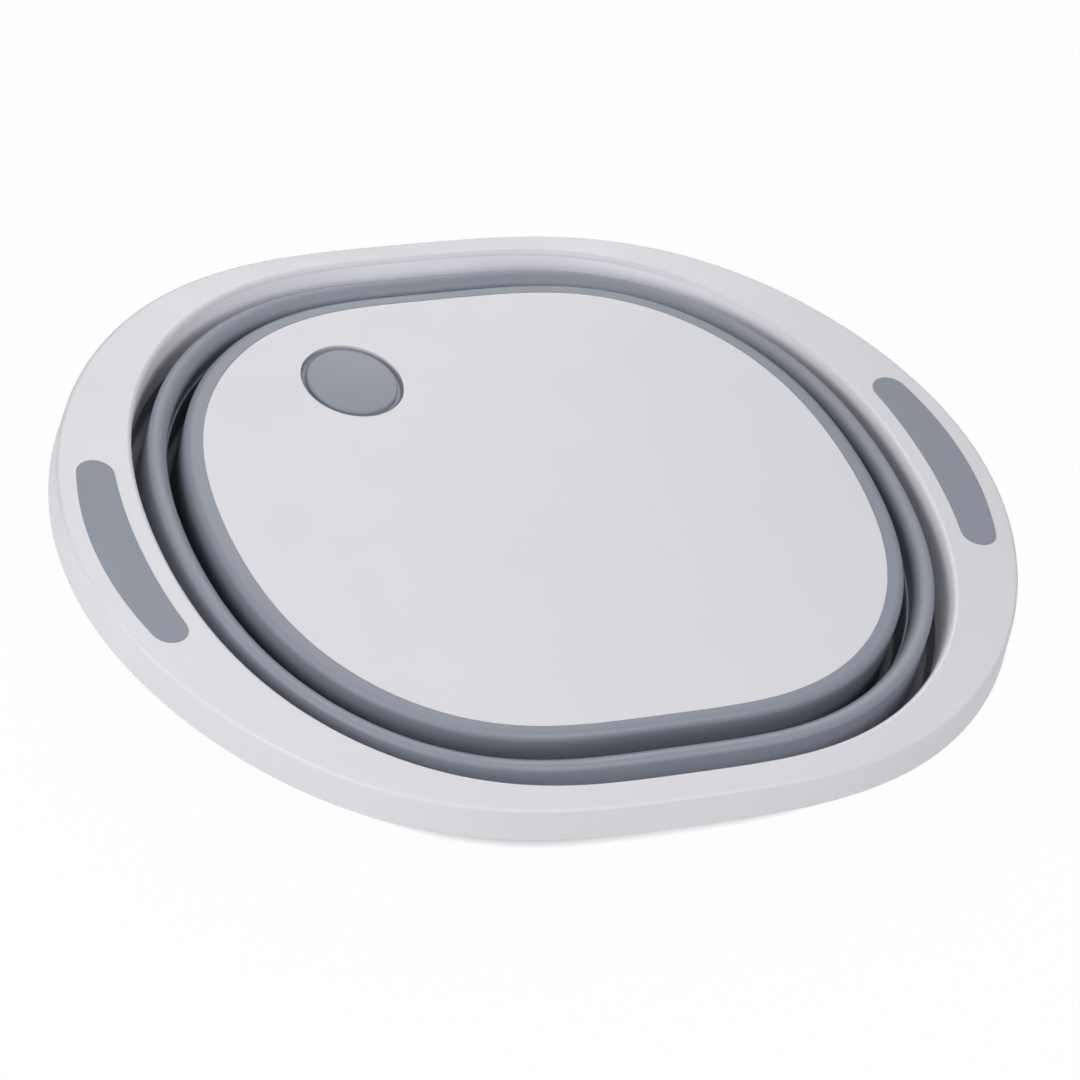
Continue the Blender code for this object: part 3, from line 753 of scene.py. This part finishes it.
def build_outer_fold(material):
    rise_top = CREST_HEIGHT - CREST_OUTER_RADIUS
    corners = [
        (OUTER_MIDDLE, 0, 0),
        (OUTER_MIDDLE, SHEET, 0),
        (OUTER_RISE, SHEET, FOLD_RADIUS),
    ]
    corners += stretch((OUTER_RISE, SHEET + FOLD_RADIUS), (CREST_OUTER, rise_top))
    corners += [
        (CREST_OUTER, CREST_HEIGHT, CREST_OUTER_RADIUS),
        (CREST_SPLIT, CREST_HEIGHT, 0),
        (CREST_SPLIT, CREST_HEIGHT - SHEET, 0),
        (CREST_OUTER + SHEET, CREST_HEIGHT - SHEET, FOLD_RADIUS / 2),
        (OUTER_RISE + SHEET, 0, FOLD_RADIUS + SHEET),
    ]
    piece = band("outer_fold_sheet", corners, wrinkles(SHEET, rise_top, OUTER_FOLD_PHASE))
    shade(piece)
    dress(piece, material, None, "outer_fold_membrane")
    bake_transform(piece)


def stretch(start, end):
    """Extra points along a straight side, so that it can wrinkle."""
    points = []
    for step in range(1, SHEET_ROWS):
        share = step / SHEET_ROWS
        across = start[0] + (end[0] - start[0]) * share
        points.append((across, start[1] + (end[1] - start[1]) * share, 0))
    return points


def build_middle_band(material):
    leg_top = (INNER_LEG, LEDGE_HEIGHT - LEDGE_RADIUS)
    inner_radius = CREST_INNER_RADIUS - CREST_THICKNESS
    corners = [
        (CREST_SPLIT, CREST_HEIGHT, 0),
        (CREST_INNER, CREST_HEIGHT, CREST_INNER_RADIUS),
        (CREST_INNER, LEDGE_HEIGHT, LEDGE_RADIUS),
        (INNER_LEG, LEDGE_HEIGHT, LEDGE_RADIUS),
    ]
    corners += stretch(leg_top, (INNER_LEG, SHEET + FOLD_RADIUS))
    corners += [
        (INNER_LEG, SHEET, FOLD_RADIUS),
        (INNER_MIDDLE, SHEET, 0),
        (INNER_MIDDLE, 0, 0),
        (INNER_LEG - SHEET, 0, FOLD_RADIUS + SHEET),
        (INNER_LEG - SHEET, LEDGE_HEIGHT - CREST_THICKNESS, LEDGE_RADIUS),
        (CREST_INNER - CREST_THICKNESS, LEDGE_HEIGHT - SHEET, LEDGE_RADIUS),
        (CREST_INNER - CREST_THICKNESS, CREST_HEIGHT - CREST_THICKNESS, inner_radius),
        (CREST_SPLIT, CREST_HEIGHT - CREST_THICKNESS, 0),
    ]
    piece = band("middle_wall", corners, wrinkles(SHEET, LEDGE_HEIGHT, MIDDLE_BAND_PHASE))
    shade(piece)
    dress(piece, material, "ring", "middle_wall_band")


def build_inner_fold(material):
    rise_top = BOARD_HEIGHT - SHOULDER_RADIUS
    corners = [
        (INNER_MIDDLE, 0, 0),
        (INNER_MIDDLE, SHEET, 0),
        (INNER_RISE, SHEET, FOLD_RADIUS),
    ]
    corners += stretch((INNER_RISE, SHEET + FOLD_RADIUS), (SHOULDER_OUTER, rise_top))
    corners += [
        (SHOULDER_OUTER, BOARD_HEIGHT, SHOULDER_RADIUS),
        (SHOULDER_SPLIT, BOARD_HEIGHT, 0),
        (SHOULDER_SPLIT, BOARD_HEIGHT - SHEET, 0),
        (SHOULDER_OUTER + SHEET, BOARD_HEIGHT - SHEET, SHOULDER_RADIUS - SHEET),
        (INNER_RISE + SHEET, 0, FOLD_RADIUS + SHEET),
    ]
    piece = band("inner_fold_sheet", corners, wrinkles(SHEET, rise_top, INNER_FOLD_PHASE))
    shade(piece)
    dress(piece, material, None, "inner_fold_membrane")
    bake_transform(piece)


# Base

def ring_leg_faces():
    outer = SHOULDER_OUTER + SHEET + RING_SLIT
    return outer, outer + RING_LEG


def build_edge_ring(material):
    leg_outer, leg_inner = ring_leg_faces()
    lip_under = BOARD_HEIGHT - RING_LIP
    foot_top = lip_under - BASE_WALL_DEPTH
    foot_inner = leg_inner + RING_FOOT_WIDTH
    corners = [
        (leg_outer, foot_top - RING_FOOT, RING_SLIT),
        (leg_outer, BOARD_HEIGHT - SHEET - RING_SLIT, LEG_RADIUS),
        (SHOULDER_SPLIT, BOARD_HEIGHT - SHEET - RING_SLIT, 0),
        (SHOULDER_SPLIT, BOARD_HEIGHT, 0),
        (BOARD_EDGE, BOARD_HEIGHT, 0),
        (BOARD_EDGE, lip_under, 0),
        (leg_inner, lip_under, 0),
        (leg_inner, foot_top, 0),
        (foot_inner, foot_top, RING_SLIT),
        (foot_inner, foot_top - RING_FOOT, RING_SLIT),
    ]
    piece = band("edge_ring", corners)
    shade(piece)
    dress(piece, material, "base", "base_edge_ring")


def build_board(material):
    wall_outer = ring_leg_faces()[1]
    wall_inner = wall_outer + BASE_WALL_THICKNESS
    shoulder = BOARD_HEIGHT - RING_LIP
    underside = BOARD_HEIGHT - BOARD_THICKNESS
    centre = (BOARD_EDGE + BOARD_EDGE_RADIUS, BOARD_HEIGHT - BOARD_EDGE_RADIUS)
    edge = arc(centre, BOARD_EDGE_RADIUS, 90, 180, BOARD_EDGE_STEPS)
    rings = [wall_ring(BOARD_EDGE + BOARD_FLAT_MARGIN, BOARD_HEIGHT)]
    rings += [wall_ring(across, up) for across, up in edge]
    rings.append(wall_ring(BOARD_EDGE, shoulder))
    rings.append(wall_ring(wall_outer, shoulder))
    rings.append(wall_ring(wall_outer, shoulder - BASE_WALL_DEPTH))
    rings.append(wall_ring(wall_inner, shoulder - BASE_WALL_DEPTH))
    rings.append(wall_ring(wall_inner, underside))
    board = skin("board_plate", rings, capped=True)
    for rib in base_ribs(wall_inner, underside):
        cut(board, rib, "UNION")
    seat_radius = PLUG_RADIUS + PLUG_CLEARANCE
    seat_height = BOARD_HEIGHT - PLUG_GROOVE_DEPTH - PLUG_FLANGE_THICKNESS - PLUG_CLEARANCE
    collar_bottom = BOARD_HEIGHT - COLLAR_DEPTH
    collar_top = underside + PLUG_CLEARANCE
    above = BOARD_HEIGHT + OVERRUN
    below = collar_bottom - OVERRUN
    cut(board, drain_cylinder(seat_radius + COLLAR_THICKNESS, collar_bottom, collar_top), "UNION")
    cut(board, drain_cylinder(seat_radius, seat_height, above))
    cut(board, drain_cylinder(STEM_RADIUS + PLUG_CLEARANCE, below, above))
    cut(board, drain_cylinder(seat_radius, below, seat_height - DRAIN_SEAT))
    shade(board)
    weigh_normals(board)
    dress(board, material, "base", "base_board")


def base_ribs(wall_inner, underside):
    """Straight ribs both ways under the board, each as long as the wall allows."""
    flat = wall_ring(wall_inner - BASE_WALL_THICKNESS / 2, underside)[:, :2]
    middle = underside - BASE_RIB_DEPTH / 2 + PLUG_CLEARANCE
    for direction in (0, 1):
        count = int(flat[:, direction].max() / BASE_RIB_SPACING)
        for index in range(-count, count + 1):
            place = index * BASE_RIB_SPACING
            near = np.abs(flat[:, direction] - place)
            reach = np.abs(flat[near < BASE_RIB_SPACING / 10][:, 1 - direction]).min()
            sizes = [2 * reach, 2 * reach]
            sizes[direction] = BASE_RIB_THICKNESS
            rib = box(sizes[0], sizes[1], BASE_RIB_DEPTH)
            position = [0.0, 0.0, middle]
            position[direction] = place
            rib.location = position
            yield rib


def build_plug(material):
    groove = -PLUG_GROOVE_DEPTH
    under = groove - PLUG_FLANGE_THICKNESS
    bottom = under - STEM_DEPTH
    roof = under + STEM_WALL / 2
    inner = STEM_RADIUS - STEM_WALL
    disc = PLUG_DISC_RADIUS - PLUG_EDGE_RADIUS
    profile = []
    for share in np.linspace(0.0, 1.0, DOME_ROWS)[:-1]:
        profile.append((disc * share, PLUG_DISC_PROUD + PLUG_DOME * (1 - share ** 2)))
    profile += arc((disc, PLUG_DISC_PROUD - PLUG_EDGE_RADIUS), PLUG_EDGE_RADIUS, 90, 0)
    profile += rounded(
        [
            (PLUG_DISC_RADIUS, groove, 0),
            (PLUG_RADIUS - PLUG_GROOVE_SLOPE, groove, PLUG_CLEARANCE),
            (PLUG_RADIUS, -PLUG_RIM_DROP, PLUG_CLEARANCE / 2),
            (PLUG_RADIUS, under, PLUG_CLEARANCE),
            (STEM_RADIUS, under, PLUG_CLEARANCE),
            (STEM_RADIUS - STEM_TAPER, bottom, PLUG_CLEARANCE),
            (inner - STEM_TAPER, bottom, PLUG_CLEARANCE),
            (inner, roof, PLUG_CLEARANCE),
            (0.0, roof, 0),
        ],
        steps=SMALL_CORNER,
    )
    angles = np.linspace(0, 2 * np.pi, TURNED, endpoint=False)
    circle = np.column_stack([np.cos(angles), np.sin(angles)])
    rings = []
    for across, up in profile[1:-1]:
        flat = (DRAIN_X, DRAIN_Y) + across * circle
        rings.append(np.column_stack([flat, np.full(TURNED, BOARD_HEIGHT + up)]))
    plug = skin("plug", rings, capped=True)
    shade(plug)
    weigh_normals(plug)
    dress(plug, material, "plug", "drain_plug")


# Floor, light and camera

def build_floor(standing):
    """A white floor. It moves with the body that the opened bowl stands on."""
    mesh = bpy.data.meshes.new("floor")
    work = bmesh.new()
    bmesh.ops.create_grid(work, x_segments=1, y_segments=1, size=FLOOR_REACH)
    work.to_mesh(mesh)
    work.free()
    floor = add_object("floor", mesh)
    material = bpy.data.materials.new("pale floor")
    material.use_nodes = True
    tree = material.node_tree
    shader = tree.nodes["Principled BSDF"]
    shader.inputs["Base Color"].default_value = (FLOOR_TONE, FLOOR_TONE, FLOOR_TONE, 1.0)
    shader.inputs["Roughness"].default_value = FLOOR_ROUGHNESS
    shader.inputs["Specular IOR Level"].default_value = FLOOR_SPECULAR
    glow = add_node(tree, "ShaderNodeEmission")
    glow.inputs["Color"].default_value = (1.0, 1.0, 1.0, 1.0)
    shelter = add_node(tree, "ShaderNodeAmbientOcclusion", samples=SHADOW_SAMPLES)
    shelter.inputs["Distance"].default_value = SHADOW_REACH
    level = ramp(tree, shelter.outputs["AO"], (0.0, 1.0), (SHADOW_LEVEL, 1.0))
    link(tree, level, glow.inputs["Strength"])
    rays = add_node(tree, "ShaderNodeLightPath").outputs
    seen = combine(tree, "MAXIMUM", rays["Is Camera Ray"], rays["Is Glossy Ray"])
    mix = add_node(tree, "ShaderNodeMixShader")
    link(tree, ramp(tree, seen, (0.0, 1.0), (0.0, FLOOR_GLOW)), mix.inputs["Fac"])
    link(tree, shader.outputs["BSDF"], mix.inputs[1])
    link(tree, glow.outputs["Emission"], mix.inputs[2])
    link(tree, mix.outputs["Shader"], tree.nodes["Material Output"].inputs["Surface"])
    floor.data.materials.append(material)
    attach(floor, standing)


def build_world():
    """An even pale studio, white to the camera."""
    world = bpy.data.worlds.new("studio")
    bpy.context.scene.world = world
    world.use_nodes = True
    tree = world.node_tree
    tree.nodes.clear()
    output = add_node(tree, "ShaderNodeOutputWorld")
    light = background(tree, STUDIO_LIGHT)
    backdrop = background(tree, BACKDROP)
    paths = add_node(tree, "ShaderNodeLightPath")
    mix = add_node(tree, "ShaderNodeMixShader")
    link(tree, paths.outputs["Is Camera Ray"], mix.inputs["Fac"])
    link(tree, light, mix.inputs[1])
    link(tree, backdrop, mix.inputs[2])
    link(tree, mix.outputs["Shader"], output.inputs["Surface"])


def background(tree, strength):
    node = add_node(tree, "ShaderNodeBackground")
    node.inputs["Color"].default_value = (1.0, 1.0, 1.0, 1.0)
    node.inputs["Strength"].default_value = strength
    return node.outputs["Background"]


def add_lamp(name, azimuth, elevation, power, colour, size=LAMP_SIZE):
    lamp = bpy.data.lights.new(name, "AREA")
    lamp.shape = "DISK"
    lamp.size = size
    lamp.energy = power
    lamp.color = colour
    thing = bpy.data.objects.new(name, lamp)
    bpy.context.scene.collection.objects.link(thing)
    turn = math.radians(azimuth)
    tilt = math.radians(elevation)
    flat = Vector((math.cos(turn), math.sin(turn), 0.0))
    direction = flat * math.cos(tilt) + Vector((0.0, 0.0, math.sin(tilt)))
    thing.location = direction * LAMP_DISTANCE
    thing.rotation_euler = direction.to_track_quat("Z", "Y").to_euler()
    thing.visible_camera = False
    return thing


def build_lights():
    for name, values in LAMPS.items():
        add_lamp(name, *values)
    glint = add_lamp("glint", *GLINT, size=GLINT_SIZE)
    glint.visible_diffuse = False


def build_camera():
    """The photograph's view: a far camera, 41 degrees up, rolled a little."""
    yaw = Matrix.Rotation(CAMERA_YAW, 3, "Z")
    sine = math.sin(CAMERA_ELEVATION)
    cosine = math.cos(CAMERA_ELEVATION)
    look = Matrix(((1, 0, 0), (0, -sine, -cosine), (0, cosine, -sine)))
    roll = Matrix.Rotation(CAMERA_ROLL, 3, "Z")
    world_to_view = roll @ look @ yaw
    view_to_world = world_to_view.transposed()
    offset = Vector((CAMERA_ACROSS, CAMERA_DOWN, CAMERA_DISTANCE))
    place = -(view_to_world @ offset) + Vector((0, 0, RIM_HEIGHT))
    turned = view_to_world @ Matrix.Diagonal((1, -1, -1))
    data = bpy.data.cameras.new("camera")
    data.sensor_width = SENSOR_WIDTH
    data.sensor_fit = "HORIZONTAL"
    data.lens = FOCAL_PIXELS * SENSOR_WIDTH / PHOTO_PIXELS
    camera = bpy.data.objects.new("camera", data)
    bpy.context.scene.collection.objects.link(camera)
    camera.matrix_world = Matrix.Translation(place) @ turned.to_4x4()
    bpy.context.scene.camera = camera


def main():
    build_camera()
    rim_plastic = white_plastic("rim plastic", RIM_ROUGHNESS)
    # Painted light on the rim's inner wall, with a warm painted shade low down
    painted_light_inner_wall(rim_plastic)
    build_rim(rim_plastic)
    grip = grey_rubber("grip rubber", GRIP_ROUGHNESS)
    build_grip("grip_left", -1, grip, "left_grip")
    build_grip("grip_right", 1, grip, "right_grip")
    wall = grey_rubber("wall rubber", WALL_ROUGHNESS)
    # Painted light low in the folds of the wall rubber
    painted_light_fold(wall)
    build_upper_band(wall)
    build_outer_fold(wall)
    build_middle_band(wall)
    sheet = grey_rubber("sheet rubber", WALL_ROUGHNESS)
    # Painted shade in the middle of the inner fold sheet
    painted_shade_middle(sheet)
    build_inner_fold(sheet)
    build_edge_ring(wall)
    build_board(white_plastic("board plastic", BOARD_ROUGHNESS))
    build_plug(grey_rubber("plug rubber", PLUG_ROUGHNESS))
    build_floor("base")
    build_world()
    build_lights()
    bpy.context.scene.view_settings.view_transform = "Standard"


main()
